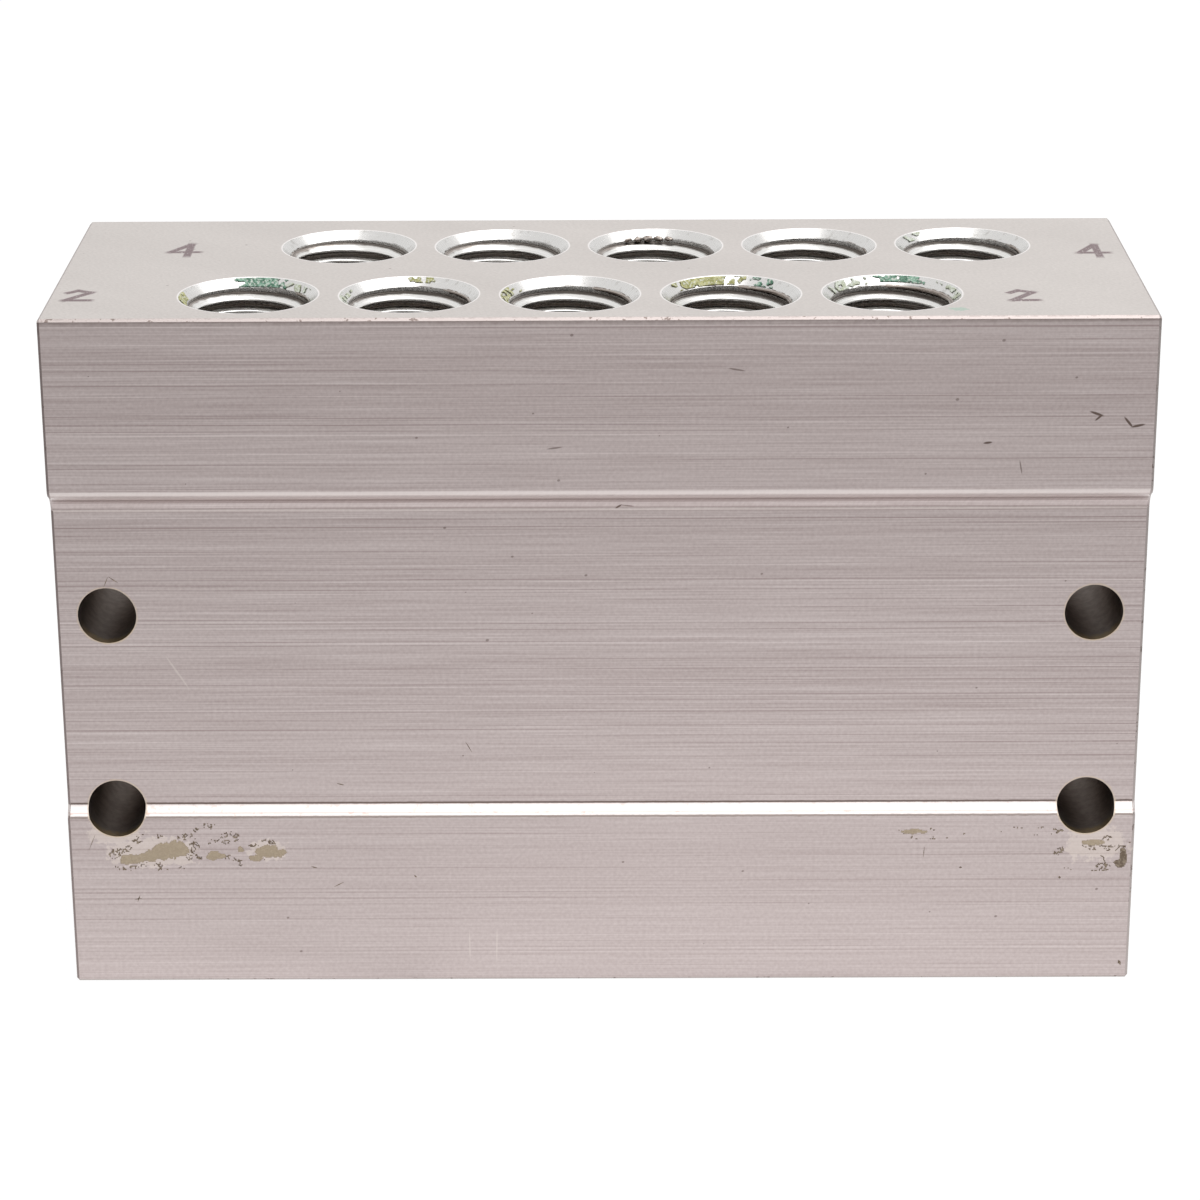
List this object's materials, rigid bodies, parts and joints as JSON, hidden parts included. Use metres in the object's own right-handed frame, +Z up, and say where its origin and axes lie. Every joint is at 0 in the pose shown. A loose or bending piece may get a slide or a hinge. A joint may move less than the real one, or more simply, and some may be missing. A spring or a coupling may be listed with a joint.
{
  "type": "hydraulic manifold block",
  "caption": "Drilled aluminium manifold block with two staggered rows of tapped work ports on top, fixing holes through the stepped front and lengthwise galleries.",
  "frame": {"origin": "on the bottom face, under the middle of the block's overall box", "axes": "+X along the length to the right as seen from the front, +Y from the stepped front to the flat valve face at the back, +Z up out of the work ports"},
  "size_m": [0.123, 0.0446, 0.0805],
  "materials": {
    "manifold_block": "anodised, drawn lines along the length"
  },
  "bodies": {
    "root": {"manifold_block": "manifold_block"}
  },
  "joints": []
}
